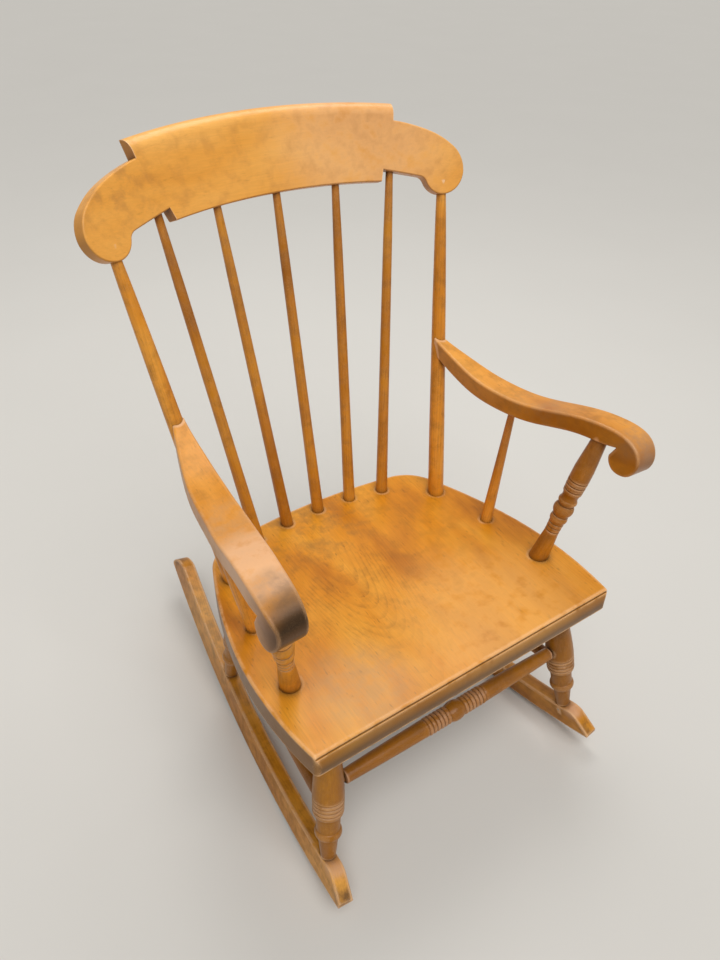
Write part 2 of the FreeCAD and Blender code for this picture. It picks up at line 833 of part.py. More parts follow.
seatPlacement = Placement(
    Vector(0, seatFront, value["seatHeight"]), Rotation(Vector(1, 0, 0), -value["seatPitch"]))
seatSideShares = (
    ("seatFrontWidth", 1.000, 0.000, "corner"),
    ("seatWidth", 0.998, 0.240, "arc"),
    ("seatWaistWidth", 1.000, 0.469, "corner"),
    ("seatWaistWidth", 0.927, 0.663, "arc"),
    ("seatWaistWidth", 0.810, 0.865, "corner"),
    ("seatWaistWidth", 0.722, 0.936, "arc"),
    ("seatWaistWidth", 0.588, 0.970, "corner"),
)
dishTurnShare = 0.6


def seatOutline():
    right = []
    for width, part, back, kind in seatSideShares:
        point = (size[width] * (0.5 * part), size["seatDepth"] * back if back else nothing)
        right.append(point if kind == "corner" else point + (kind,))
    left = [(-point[0],) + point[1:] for point in reversed(right)]
    return right + [(nothing, size["seatDepth"], "arc")] + left


def mouldingCut():
    # What is taken off in front of the moulded edge: back from the front, up from the top face.
    lip = size["mouldingStep"]
    top = size["seatTopRound"]
    nose = size["mouldingNoseRadius"]
    drop = size["mouldingNoseDrop"]
    under = size["seatThickness"]
    ledge = arcRise(nose, drop - size["mouldingLip"])
    below = arcRise(nose, under - drop)
    roundShare = 1 - math.sqrt(0.5)
    return [
        (-overrun, overrun),
        (lip + top, overrun),
        (lip + top, nothing),
        (lip + top * roundShare, -(top * roundShare), "arc"),
        (lip, -top),
        (lip, -size["mouldingLip"]),
        (ledge, -size["mouldingLip"]),
        (nothing, -drop, "arc"),
        (below, -under),
        (below, -(under + overrun)),
        (-overrun, -(under + overrun)),
    ]


def dishCut():
    radius = size["seatDishRadius"]
    depth = size["seatDishDepth"]
    turn = dishTurnShare
    hollow = turn / 4
    rim = (1 - turn) / 4
    return [
        (nothing, -depth),
        (radius * (turn / 2), -(depth * (1 - hollow)), "arc"),
        (radius * turn, -(depth * (1 - turn))),
        (radius * ((1 + turn) / 2), -(depth * rim), "arc"),
        (radius, nothing),
        (radius, overrun),
        (nothing, overrun),
    ]


def makeSeat(name, cutters):
    plank = doc.addObject("PartDesign::Body", name + "_plank")
    pad = plank.newObject("PartDesign::Pad", name + "_pad")
    pad.Profile = outline(plank, name + "_outline", "XY_Plane", seatOutline())
    pad.setExpression("Length", size["seatThickness"].text)
    pad.Reversed = True
    doc.recompute()
    feature = pad
    rules = (("seatCornerRadius", frontCorner), ("seatTopRound", topArris), ("seatUnderRound", underArris))
    for radius, rule in rules:
        chosen = ["Edge%d" % (index + 1) for index, edge in enumerate(feature.Shape.Edges) if rule(edge)]
        fillet = plank.newObject("PartDesign::Fillet", "%s_%s" % (name, rule.__name__))
        fillet.Base = (feature, chosen)
        fillet.setExpression("Radius", size[radius].text)
        doc.recompute()
        feature = fillet
    moulding = plank.newObject("PartDesign::Pocket", name + "_moulding")
    moulding.Profile = outline(plank, name + "_moulding_profile", "YZ_Plane", mouldingCut())
    moulding.Midplane = True
    moulding.setExpression("Length", "sizes.seatWidth + 2 * sizes.cutOverrun")
    dish = plank.newObject("PartDesign::Groove", name + "_dish")
    profile = outline(plank, name + "_dish_profile", "XZ_Plane", dishCut())
    profile.setExpression("AttachmentOffset.Base.z", "-sizes.seatDishSetback")
    dish.Profile = profile
    dish.ReferenceAxis = (profile, ["V_Axis"])
    dish.Angle = 360
    plank.Placement = seatPlacement
    doc.recompute()
    return less(name, plank, cutters)


def frontCorner(edge):
    upright = abs(edge.tangentAt(edge.FirstParameter).z) > math.sqrt(0.5)
    return upright and edgeMiddle(edge).y < value["seatCornerRadius"]


def topArris(edge):
    return abs(edge.BoundBox.ZMin) < value["glueGap"] and abs(edge.BoundBox.ZMax) < value["glueGap"]


def underArris(edge):
    return edge.BoundBox.ZMax < value["glueGap"] - value["seatThickness"]


# Arms: the side outline and the plan outline meet in one solid

# Top of the arm from its back end over the scroll to the tip of the curl: share of the arm's run
# behind its nose, share of its fall below its highest place
armTopShares = (
    (1.0000, 0.030),
    (0.9595, 0.130),
    (0.8560, 0.320),
    (0.7440, 0.474),
    (0.6475, 0.508),
    (0.5500, 0.478),
    (0.4540, 0.382),
    (0.3670, 0.240),
    (0.2450, 0.060),
    (0.1550, 0.002),
    (0.0985, 0.010),
    (0.0580, 0.070),
    (0.0235, 0.200),
    (0.0035, 0.380),
    (0.0000, 0.566),
    (0.0100, 0.770),
    (0.0330, 0.940),
    (0.0650, 1.000),
    (0.0960, 0.955),
    (0.1150, 0.820),
    (0.1213, 0.640),
)
notchShare = (0.1010, 0.3935)
armUnderShares = ((0.1550, 0.010), (0.2450, 0.062), (0.3670, 0.235), (0.4540, 0.375), (0.5500, 0.470),
                  (0.6475, 0.505), (0.7440, 0.478), (0.8560, 0.333), (0.9595, 0.120), (1.0000, 0.020))
# Edges seen from above, from the back end forwards: share of the run, share of the way outwards
armInnerShares = ((1.00, 0.00), (0.86, 0.04), (0.72, 0.085), (0.60, 0.190), (0.48, 0.330),
                  (0.36, 0.545), (0.24, 0.750), (0.13, 0.910), (0.02, 1.000), (-0.06, 1.020))
armOuterShares = ((1.00, -0.04), (0.93, 0.10), (0.84, 0.262), (0.72, 0.440), (0.64, 0.520),
                  (0.54, 0.610), (0.42, 0.740), (0.28, 0.860), (0.15, 0.955), (0.08, 0.985),
                  (0.03, 0.965), (-0.01, 0.880), (-0.06, 0.700))


def postTop(side):
    top = onCrest(value["postTopHalfSpan"], -value["crestEarDrop"], 0.5)
    return Vector(side * top.x, top.y, top.z)


def armEnd():
    # Middle of the arm where it meets the axis of the right back post.
    start = onSeat(1, "postHalfSpan", "postSetback")
    return atHeight(start, postTop(1), value["seatHeight"] + value["armBackRise"])


def faired(points):
    curve = Part.BSplineCurve()
    curve.interpolate(points)
    return curve.toShape()


def armSide(run):
    # Upright face across the middle of the arm, y behind the nose and z above the highest place.
    fall = value["armFall"]
    thick = value["armThickness"]
    top = [Vector(0, run * back, -fall * down) for back, down in armTopShares]
    under = [Vector(0, run * back, -fall * down - thick) for back, down in armUnderShares]
    notch = Vector(0, run * notchShare[0], -fall * notchShare[1])
    edges = [
        faired(top),
        Part.makeLine(top[-1], notch),
        faired([notch] + under),
        Part.makeLine(under[-1], top[0]),
    ]
    return Part.Face(Part.Wire(edges))


planHeightShare = 4


def armPlan(run, back):
    # Level face, x across from the middle of the arm's back end and y behind the nose.
    half = value["armBackWidth"] / 2
    outer = value["armOuterHalfSpan"] - back
    inner = outer - value["armFrontWidth"]
    inside = [Vector(-half + (inner + half) * out, run * along, 0) for along, out in armInnerShares]
    outside = [Vector(half + (outer - half) * out, run * along, 0) for along, out in armOuterShares]
    edges = [
        faired(inside),
        Part.makeLine(inside[-1], outside[-1]),
        faired(list(reversed(outside))),
        Part.makeLine(outside[0], inside[0]),
    ]
    return Part.Face(Part.Wire(edges))


def sawn(name, face, length, placement):
    outlineFeature = doc.addObject("Part::Feature", name + "_outline")
    outlineFeature.Shape = face
    outlineFeature.Placement = placement
    board = doc.addObject("Part::Extrusion", name)
    board.Base = outlineFeature
    board.DirMode = "Normal"
    board.Symmetric = True
    board.Solid = True
    board.setExpression("LengthFwd", length)
    return board


def makeArmBlank(name):
    # The right arm before its holes.
    meeting = armEnd()
    nose = seatFront + value["armNoseSetback"]
    run = meeting.y - nose
    top = value["seatHeight"] + value["armTopRise"]
    middle = value["armOuterHalfSpan"] - value["armFrontWidth"]
    roll = Rotation(Vector(0, 1, 0), value["armRoll"])
    side = sawn(name + "_side", armSide(run), "sizes.armOuterHalfSpan",
                Placement(Vector(middle, nose, top), roll))
    plan = sawn(name + "_plan", armPlan(run, meeting.x), (size["armFall"] * planHeightShare).text,
                Placement(Vector(meeting.x, nose, top), Rotation()))
    shaped = doc.addObject("Part::Common", name + "_shaped")
    shaped.Base = side
    shaped.Tool = plan
    doc.recompute()
    return rounded(name + "_softened", shaped, [("armEdgeRound", armArris)])


def armArris(edge):
    # The long arrises round the arm and into its notch, but none across it or at its back end.
    middle = edgeMiddle(edge)
    tangent = edge.tangentAt((edge.FirstParameter + edge.LastParameter) / 2)
    lengthways = abs(tangent.x) < math.cos(math.radians(45))
    return lengthways and middle.y < armEnd().y - value["postFootDiameter"]


def mirrored(name, source):
    mirror = doc.addObject("Part::Mirroring", name)
    mirror.Source = source
    mirror.Base = Vector(0, 0, 0)
    mirror.Normal = Vector(1, 0, 0)
    return mirror


# Hidden fasteners

def fastener(name, start, end, shank, head, headLength, length):
    # A headed pin whose head starts at start and whose shank points towards end.
    rows = [
        (nothing, size[head], "corner"),
        (size[headLength], size[shank], "corner"),
        (size[length], size[shank], "corner"),
    ]
    return turned(name, start, end, rows)


def fastenerHole(name, start, end, shank, head, headLength, length):
    # Cutters for the whole fastener, its head and the way in over it.
    outside = along(start, end, -value["cutOverrun"])
    seated = along(start, end, value[headLength])
    tip = along(start, end, value[length] + value["endGap"])
    return [
        drill(name + "_head", outside, seated, size[head], size["glueGap"]),
        drill(name + "_shank", start, tip, size[shank], size["glueGap"]),
    ]


def makePlug(name, head, aim, post):
    # A short dowel over the screw head, flush with the round of the post.
    length = value["plugLength"] + value["cutOverrun"]
    dowel = drill(name + "_dowel", along(head, aim, -value["endGap"]), along(head, aim, -length),
                  size["plugDiameter"], nothing)
    plug = doc.addObject("Part::Common", name)
    plug.Base = dowel
    plug.Tool = post
    return plug


def grouped(name, parts):
    group = doc.addObject("Part::Compound", name)
    group.Links = parts
    pieces[name] = group
    return group


screwSizes = ("screwDiameter", "screwHeadDiameter", "screwHeadLength", "screwLength")
bradSizes = ("bradDiameter", "bradHeadDiameter", "bradHeadLength", "bradLength")
# Where each arm screw aims, from the post's axis: shares of the arm's back width and of its fall
screwAimShares = (0.22, 1.24, 0.14)
tenonBradShare = 0.55
crestBradShares = (0.1, 0.5)
copeShare = 1.02


def screwLine(side):
    # From behind the back post into the end of the arm.
    meeting = armEnd()
    across, ahead, down = screwAimShares
    width = value["armBackWidth"]
    aim = meeting + Vector(width * across, -width * ahead, -value["armFall"] * down)
    outwards = (meeting - aim).normalize()
    back = meeting + outwards * (value["postArmDiameter"] / 2)
    start = back - outwards * value["plugLength"]
    return [Vector(side * place.x, place.y, place.z) for place in (start, aim, back)]


def tenonBrad(side, end):
    # Through the inner face of a rocker into the tenon of a leg.
    setback = value[legEnds[end][0]]
    station = (setback - value["rockerContactSetback"]) / math.cos(toeIn)
    height = topOfRocker(station) - value["legFootDepth"] * tenonBradShare
    half = value["rockerThickness"] / 2
    return onRocker(side, station, height, -half), onRocker(side, station, height, half)


def crestBrad(side):
    # From the back of the crest rail's ear into the top of a back post.
    across = value["postTopHalfSpan"] + value["postTopDiameter"] * crestBradShares[0]
    up = value["postCrestDepth"] * crestBradShares[1] - value["crestEarDrop"]
    places = [onCrest(across, up, 1), onCrest(across, up, 0)]
    return [Vector(side * place.x, place.y, place.z) for place in places]


# Assembly

seatCuts = []
crestCuts = []
armCuts = {"left": [], "right": []}
rockerCuts = {"left": [], "right": []}
legCuts = {}
postCuts = {"left": [], "right": []}

for label, side in sides.items():
    for end in legEnds:
        foot, top = legAxis(side, end)
        key = "%s_%s_leg" % (end, label)
        seatCuts.append(socket(key + "_seat_hole", top, foot, "legSeatDepth", size["legTopDiameter"]))
        rockerCuts[label].append(
            socket(key + "_foot_hole", foot, top, "legFootDepth", size["legFootTenon"]))
        legCuts[key] = []

for end in legEnds:
    height = legEnds[end][3]
    ends = [onLeg(side, end, height) for side in sides.values()]
    diameter = size["stretcherTenon"] if end == "front" else size["plainStretcherEnd"]
    name = end + "_stretcher"
    for label, start, far in (("left", ends[0], ends[1]), ("right", ends[1], ends[0])):
        key = "%s_%s_leg" % (end, label)
        legCuts[key].append(legHole("%s_%s_hole" % (name, label), start, far, diameter))
    if end == "front":
        makeFrontStretcher(name, *ends)
    else:
        makePlainStretcher(name, *ends)

for label, side in sides.items():
    name = label + "_side_stretcher"
    places = {end: onLeg(side, end, "sideStretcherHeight") for end in legEnds}
    for end, far in (("front", "rear"), ("rear", "front")):
        hole = legHole("%s_%s_hole" % (name, end), places[end], places[far], size["plainStretcherEnd"])
        legCuts["%s_%s_leg" % (end, label)].append(hole)
    makePlainStretcher(name, places["front"], places["rear"])

brads = []
for label, side in sides.items():
    for end in legEnds:
        start, far = tenonBrad(side, end)
        name = "rocker_brad_%s_%s" % (end, label)
        holes = fastenerHole(name + "_hole", start, far, *bradSizes)
        rockerCuts[label] += holes
        legCuts["%s_%s_leg" % (end, label)].append(holes[1])
        brads.append(fastener(name, start, far, *bradSizes))
grouped("rocker_brads", brads)

for label, side in sides.items():
    for end in legEnds:
        key = "%s_%s_leg" % (end, label)
        makeLeg(side, end, key, legCuts[key])
    makeRocker(side, label + "_rocker", rockerCuts[label])

screws = []
plugs = []
topBrads = []
for label, side in sides.items():
    start = onSeat(side, "postHalfSpan", "postSetback")
    top = postTop(side)
    name = label + "_back_post"
    seatCuts.append(socket(name + "_seat_hole", start, top, "postSeatDepth", size["postFootDiameter"]))
    crestCuts.append(socket(name + "_top_hole", top, start, "postCrestDepth", size["postTopDiameter"]))
    head, aim, back = screwLine(side)
    holes = fastenerHole(label + "_arm_screw_hole", head, aim, *screwSizes)
    plugHole = drill(label + "_arm_plug_hole", head, along(back, aim, -value["cutOverrun"]),
                     size["plugDiameter"], size["glueGap"])
    postCuts[label] += holes + [plugHole]
    armCuts[label].append(holes[1])
    screws.append(fastener(label + "_arm_screw", head, aim, *screwSizes))
    first, far = crestBrad(side)
    holes = fastenerHole(label + "_crest_brad_hole", first, far, *bradSizes)
    crestCuts += holes
    postCuts[label].append(holes[1])
    topBrads.append(fastener(label + "_crest_brad", first, far, *bradSizes))
    cope = size["postArmDiameter"] * copeShare
    armCuts[label].append(drill(name + "_cope", start, top, cope, size["glueGap"]))
    post = member(name, start, top, "postSeatDepth", "postCrestDepth", postShares)
    plugs.append(makePlug(label + "_arm_plug", head, aim, post))
    less(name, post, postCuts[label])
grouped("arm_screws", screws)
grouped("arm_screw_plugs", plugs)
grouped("crest_brads", topBrads)

spindles = (
    ("spindleHalfSpan", "spindleOuterSetback", "spindleTopHalfSpan", -1),
    ("spindleInnerHalfSpan", "spindleInnerSetback", "spindleInnerTopHalfSpan", -1),
    (None, "spindleCentreSetback", None, 0),
    ("spindleInnerHalfSpan", "spindleInnerSetback", "spindleInnerTopHalfSpan", 1),
    ("spindleHalfSpan", "spindleOuterSetback", "spindleTopHalfSpan", 1),
)
for number, (halfSpan, setback, topHalfSpan, side) in enumerate(spindles, start=1):
    name = "back_spindle_%d" % number
    back = value[setback]
    start = Vector(side * value[halfSpan] if side else 0, seatFront + back, seatTop(back))
    across = value[topHalfSpan] if side else 0
    top = onCrest(across, -underCrest(across), spindleDepthShare)
    top = Vector(side * top.x, top.y, top.z)
    seatCuts.append(socket(name + "_seat_hole", start, top, "spindleSeatDepth", size["spindleFootDiameter"]))
    crestCuts.append(socket(name + "_top_hole", top, start, "spindleCrestDepth", size["spindleTopDiameter"]))
    less(name, member(name, start, top, "spindleSeatDepth", "spindleCrestDepth", spindleShares), [])

armSupports = (
    ("arm_post", "armPostHalfSpan", "armPostSetback",
     ("armPostTopHalfSpan", "armPostTopSetback", "armPostTopRise"),
     "armPostSeatDepth", "armPostArmDepth", "armPostFootDiameter", "armPostTopDiameter", armPostShares),
    ("arm_spindle", "armSpindleHalfSpan", "armSpindleSetback",
     ("armSpindleTopHalfSpan", "armSpindleTopSetback", "armSpindleTopRise"),
     "armSpindleSeatDepth", "armSpindleArmDepth", "armSpindleFootDiameter", "armSpindleTopDiameter",
     armSpindleShares),
)
for label, side in sides.items():
    for kind, halfSpan, setback, topNames, seatDepth, armDepth, foot, tip, shares in armSupports:
        name = "%s_%s" % (label, kind)
        start = onSeat(side, halfSpan, setback)
        top = overSeat(side, *topNames)
        seatCuts.append(socket(name + "_seat_hole", start, top, seatDepth, size[foot]))
        armCuts[label].append(socket(name + "_arm_hole", top, start, armDepth, size[tip]))
        less(name, member(name, start, top, seatDepth, armDepth, shares), [])

rightArm = makeArmBlank("right_arm")
less("right_arm", rightArm, armCuts["right"])
less("left_arm", mirrored("left_arm_blank", rightArm), armCuts["left"])
makeSeat("seat", seatCuts)
makeCrest("crest_rail", crestCuts)

doc.recompute()
failed = [item.Name for item in doc.Objects if {"Invalid", "Error"} & set(item.State)]
for name, piece in pieces.items():
    piece.Label = name
    if piece.Shape.isNull() or not piece.Shape.isValid() or not piece.Shape.Solids:
        failed.append(name)
if failed:
    raise RuntimeError("failed: " + ", ".join(failed))

os.makedirs("parts", exist_ok=True)
for name, piece in pieces.items():
    piece.Shape.exportStep("parts/%s.step" % name)

solids = [solid for piece in pieces.values() for solid in piece.Shape.Solids]
volume = sum(solid.Volume for solid in solids)
centre = sum((solid.CenterOfMass * solid.Volume for solid in solids), Vector()) * (1 / volume)
print("%d pieces, %d solids" % (len(pieces), len(solids)))
print("centre of mass %.2f behind the floor contact, %.1f above the floor" % (
    centre.y - seatFront - value["rockerContactSetback"], centre.z))
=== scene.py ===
import math
import random

import bpy
import numpy as np
from mathutils import Euler, Matrix, Vector

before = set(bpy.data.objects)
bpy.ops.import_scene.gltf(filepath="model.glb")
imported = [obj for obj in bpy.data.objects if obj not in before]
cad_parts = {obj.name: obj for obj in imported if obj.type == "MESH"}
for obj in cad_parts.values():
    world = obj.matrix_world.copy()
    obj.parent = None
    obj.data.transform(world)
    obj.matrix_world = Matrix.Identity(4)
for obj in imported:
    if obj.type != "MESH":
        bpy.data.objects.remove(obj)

# a plain Blender start brings its own cube, lamp and camera along
for spare in ("Cube", "Light", "Camera"):
    if spare in bpy.data.objects:
        bpy.data.objects.remove(bpy.data.objects[spare])
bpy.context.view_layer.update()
dice = random.Random(11)
print("frame loaded:", len(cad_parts), "wooden and steel pieces")


def linearColour(hexText):
    # sRGB hex to the linear values that the shaders work in
    channels = [int(hexText[start:start + 2], 16) / 255 for start in (0, 2, 4)]
    linear = [c / 12.92 if c <= 0.04045 else ((c + 0.055) / 1.055) ** 2.4 for c in channels]
    return tuple(linear) + (1.0,)


def addNode(tree, kind, links=None, **settings):
    node = tree.nodes.new(kind)
    for name, setting in settings.items():
        setattr(node, name, setting)
    for socket, source in (links or {}).items():
        if isinstance(source, bpy.types.NodeSocket):
            tree.links.new(source, node.inputs[socket])
        else:
            node.inputs[socket].default_value = source
    return node


def meshPoints(piece):
    points = np.empty(len(piece.data.vertices) * 3)
    piece.data.vertices.foreach_get("co", points)
    return points.reshape(-1, 3)


upFirst = Vector((0.01, 0.1, 1))  # a long axis points up, or else back, or else right


def longAxis(piece):
    # the way the piece was cut or turned: its longest direction, from its own points
    points = meshPoints(piece)
    spread = np.cov((points - points.mean(0)).T)
    axis = Vector(np.linalg.eigh(spread)[1][:, 2])
    return axis if axis.dot(upFirst) > 0 else -axis


def grainPlace(piece, axis, facing, pith):
    # turns the piece so that its grain runs along z, with the heart of the tree at the origin
    along = Vector(axis).normalized()
    up = (Vector(facing) - along * Vector(facing).dot(along)).normalized()
    turn = Matrix((up.cross(along), up, along))
    points = meshPoints(piece)
    middle = Vector((points.min(0) + points.max(0)) / 2)
    heart = turn.transposed() @ Vector(pith)
    return turn, -(turn @ (middle + heart))


# lacquered maple under an amber stain: the eye sees a warm honey film with soft gloss, fine grain
# lines a few millimetres apart, cloudy figure below them, and paler wood where hands wore it off;
# on the arrises that paleness is also a painted highlight.
# These values hold for every piece unless its own stain says otherwise.
mapleStain = {
    "ringLine": "8f4f0c",
    "fleck": "6a390c",
    "wornEdgeAndHighlight": "eab683",
    "grimeAndShade": "3a220c",
    "endGrain": "8a5420",
    "figureMm": 70,
    "fibreMm": 1.6,  # real pores are finer; as coarse as the picture can show
    "fleckMm": 2.4,
    "smudgeMm": 18.18,
    "wearAndHighlightReachMm": 4.5,
    "creaseReachMm": 11,
}
# each pattern's scale along the grain, as a share of its scale across: the lower, the more drawn out
drawnOut = {"rings": 0.22, "fibre": 0.035, "fleck": 0.2, "cloud": 0.45}
waveTurnMm = 314  # rings of Blender's wave texture at scale 1 are this far apart
ringPattern = {"Detail": 2.5, "Detail Scale": 0.14, "Detail Roughness": 0.55}
fibrePattern = {"Detail": 3, "Roughness": 0.62}
fleckPattern = {"Detail": 1.5, "Roughness": 0.5}
cloudPattern = {"Detail": 3, "Roughness": 0.5, "Distortion": 0.4}
smearPattern = {"Detail": 4, "Roughness": 0.6}
stainPlace = {"deep": 0.32, "main": 0.47, "light": 0.70}  # on the cloudy figure, from 0 to 1
# from where to where each pattern comes in, on its own scale of 0 to 1
shows = {
    "ringLine": (0.5, 0.97),
    "brokenLine": (0.38, 0.6),
    "fibre": (0.3, 0.7),
    "fleck": (0.66, 0.78),
    "endGrain": (0.62, 0.95),
    "wearAndHighlightPatch": (0.3, 0.52),
    "crease": (0.88, 0.42),
    "film": (0.3, 0.7),
}
brokenStrength = (0.25, 1.15)  # ring lines come and go between these shares of their strength
archReachMm = (30, 120)  # ring lines fade over this distance from the arches
markCore = 0.35  # share of a mark's radius that has its full strength
markSoftness = 0.4  # its patches fade out over this much of the smudges' own scale
openSpan = 0.12  # wear fades in over this much openness, so it stays out of creases
wearSamples = 6
# thin old film: gentle gloss, duller where it is rubbed or dirty
lacquerFilm = {
    "IOR": 1.5,
    "Specular IOR Level": 0.24,
    "Coat Weight": 0.09,
    "Coat Roughness": 0.16,
    "Coat IOR": 1.5,
}
duller = {"wearAndHighlightPatches": 0.2, "dirty": 0.3}
fibreShareOfRelief = 0.5
grainRelief = {"Strength": 0.12, "Distance": 0.00025}
figureRelief = {"Strength": 0.25, "Distance": 0.002}
# the mix node's colour sockets, by number, because its sockets for numbers have the same names
under, over, blended = 6, 7, 2


def lacqueredMaple(name, piece, look):
    stain = dict(mapleStain, **look["stain"])
    turn, shift = grainPlace(piece, look["axis"], look["facing"], look["pith"])
    material = bpy.data.materials.new(name)
    material.use_nodes = True
    tree = material.node_tree
    tree.nodes.clear()

    # the patterns, in the piece's own place: rings, fibres, flecks, cloudy figure, smudges
    place = addNode(tree, "ShaderNodeTexCoord")
    grain = addNode(tree, "ShaderNodeMapping", {
        "Vector": place.outputs["Object"],
        "Location": shift,
        "Rotation": turn.to_euler("XYZ")})
    tilt = [math.radians(angle) for angle in look["heartTilt"]]
    heart = addNode(tree, "ShaderNodeMapping", {
        "Vector": grain.outputs[0], "Rotation": (tilt[0], tilt[1], 0)})
    drawn = addNode(tree, "ShaderNodeMapping", {
        "Vector": heart.outputs[0], "Scale": (1, 1, drawnOut["rings"])})
    rings = addNode(tree, "ShaderNodeTexWave", dict(ringPattern, **{
        "Vector": drawn.outputs[0],
        "Scale": waveTurnMm / look["ringMm"],
        "Distortion": look["ringWander"]}),
        wave_type="RINGS", rings_direction="Z", wave_profile="SAW")
    ringLine = addNode(tree, "ShaderNodeValToRGB", {"Fac": rings.outputs["Fac"]})
    ringLine.color_ramp.elements[0].position = shows["ringLine"][0]
    ringLine.color_ramp.elements[1].position = shows["ringLine"][1]
    ringLine.color_ramp.interpolation = "EASE"
    fibrePlace = addNode(tree, "ShaderNodeMapping", {
        "Vector": grain.outputs[0],
        "Location": [dice.uniform(0, 3) for _ in range(3)],
        "Scale": (1, 1, drawnOut["fibre"])})
    fibre = addNode(tree, "ShaderNodeTexNoise", dict(fibrePattern, **{
        "Vector": fibrePlace.outputs[0], "Scale": 1000 / stain["fibreMm"]}))
    fleckPlace = addNode(tree, "ShaderNodeMapping", {
        "Vector": grain.outputs[0], "Scale": (1, 1, drawnOut["fleck"])})
    fleck = addNode(tree, "ShaderNodeTexNoise", dict(fleckPattern, **{
        "Vector": fleckPlace.outputs[0], "Scale": 1000 / stain["fleckMm"]}))
    cloudPlace = addNode(tree, "ShaderNodeMapping", {
        "Vector": grain.outputs[0],
        "Location": [dice.uniform(0, 9) for _ in range(3)],
        "Scale": (1, 1, drawnOut["cloud"])})
    cloud = addNode(tree, "ShaderNodeTexNoise", dict(cloudPattern, **{
        "Vector": cloudPlace.outputs[0], "Scale": 1000 / stain["figureMm"]}))
    smear = addNode(tree, "ShaderNodeTexNoise", dict(smearPattern, **{
        "Vector": place.outputs["Object"], "Scale": 1000 / stain["smudgeMm"]}))

    # colour from the wood outwards: figure, rings, fibres, flecks, end grain
    figure = addNode(tree, "ShaderNodeValToRGB", {"Fac": cloud.outputs["Fac"]})
    ramp = figure.color_ramp
    ramp.elements[0].position = stainPlace["deep"]
    ramp.elements[0].color = linearColour(stain["deep"])
    ramp.elements[1].position = stainPlace["light"]
    ramp.elements[1].color = linearColour(stain["light"])
    ramp.elements.new(stainPlace["main"]).color = linearColour(stain["main"])
    fromArches = addNode(tree, "ShaderNodeVectorMath", {
        0: place.outputs["Object"],
        1: [c / 1000 for c in look.get("archesAtMm", (0, 0, 0))]}, operation="DISTANCE")
    strength = addNode(tree, "ShaderNodeMapRange", {
        "Value": fromArches.outputs["Value"],
        "From Min": archReachMm[0] / 1000,
        "From Max": archReachMm[1] / 1000,
        "To Min": look["ringStrength"],
        "To Max": look.get("ringStrengthFar", look["ringStrength"])},
        interpolation_type="SMOOTHSTEP")
    brokenLine = addNode(tree, "ShaderNodeMapRange", {
        "Value": smear.outputs["Fac"],
        "From Min": shows["brokenLine"][0],
        "From Max": shows["brokenLine"][1],
        "To Min": brokenStrength[0],
        "To Max": brokenStrength[1]})
    lineShare = addNode(tree, "ShaderNodeMath", {
        0: ringLine.outputs["Color"], 1: brokenLine.outputs[0]}, operation="MULTIPLY")
    ringShare = addNode(tree, "ShaderNodeMath", {
        0: lineShare.outputs[0], 1: strength.outputs[0]}, operation="MULTIPLY")
    ringed = addNode(tree, "ShaderNodeMix", {
        "Factor": ringShare.outputs[0],
        under: figure.outputs["Color"],
        over: linearColour(stain["ringLine"])}, data_type="RGBA")
    fibreShare = addNode(tree, "ShaderNodeMapRange", {
        "Value": fibre.outputs["Fac"],
        "From Min": shows["fibre"][0],
        "From Max": shows["fibre"][1],
        "To Min": look["fibreRange"][0],
        "To Max": look["fibreRange"][1]})
    fibred = addNode(tree, "ShaderNodeMix", {
        "Factor": 1.0, under: ringed.outputs[blended], over: fibreShare.outputs[0]},
        data_type="RGBA", blend_type="MULTIPLY")
    fleckShare = addNode(tree, "ShaderNodeMapRange", {
        "Value": fleck.outputs["Fac"],
        "From Min": shows["fleck"][0],
        "From Max": shows["fleck"][1],
        "To Max": look["fleckStrength"]})
    flecked = addNode(tree, "ShaderNodeMix", {
        "Factor": fleckShare.outputs[0],
        under: fibred.outputs[blended],
        over: linearColour(stain["fleck"])}, data_type="RGBA")
    across = addNode(tree, "ShaderNodeVectorMath", {
        0: place.outputs["Normal"], 1: turn[2]}, operation="DOT_PRODUCT")
    acrossSize = addNode(tree, "ShaderNodeMath", {0: across.outputs["Value"]}, operation="ABSOLUTE")
    endShare = addNode(tree, "ShaderNodeMapRange", {
        "Value": acrossSize.outputs[0],
        "From Min": shows["endGrain"][0],
        "From Max": shows["endGrain"][1],
        "To Max": look["endStrength"]})
    colour = addNode(tree, "ShaderNodeMix", {
        "Factor": endShare.outputs[0],
        under: flecked.outputs[blended],
        over: linearColour(stain["endGrain"])}, data_type="RGBA").outputs[blended]

    # marks at known places: stain left dark, grime from hands, lacquer rubbed thin, and painted
    # sheen and highlights
    for atMm, radiusMm, markStrength, markColour, patchiness in look["marks"]:
        reach = addNode(tree, "ShaderNodeVectorMath", {
            0: place.outputs["Object"], 1: [c / 1000 for c in atMm]}, operation="DISTANCE")
        inside = addNode(tree, "ShaderNodeMapRange", {
            "Value": reach.outputs["Value"],
            "From Min": radiusMm * markCore / 1000,
            "From Max": radiusMm / 1000,
            "To Min": 1.0,
            "To Max": 0.0}, interpolation_type="SMOOTHSTEP")
        broken = addNode(tree, "ShaderNodeMapRange", {
            "Value": smear.outputs["Fac"],
            "From Min": patchiness,
            "From Max": patchiness + markSoftness})
        both = addNode(tree, "ShaderNodeMath", {
            0: inside.outputs[0], 1: broken.outputs[0]}, operation="MULTIPLY")
        share = addNode(tree, "ShaderNodeMath", {
            0: both.outputs[0], 1: markStrength}, operation="MULTIPLY")
        colour = addNode(tree, "ShaderNodeMix", {
            "Factor": share.outputs[0],
            under: colour,
            over: linearColour(markColour)}, data_type="RGBA").outputs[blended]
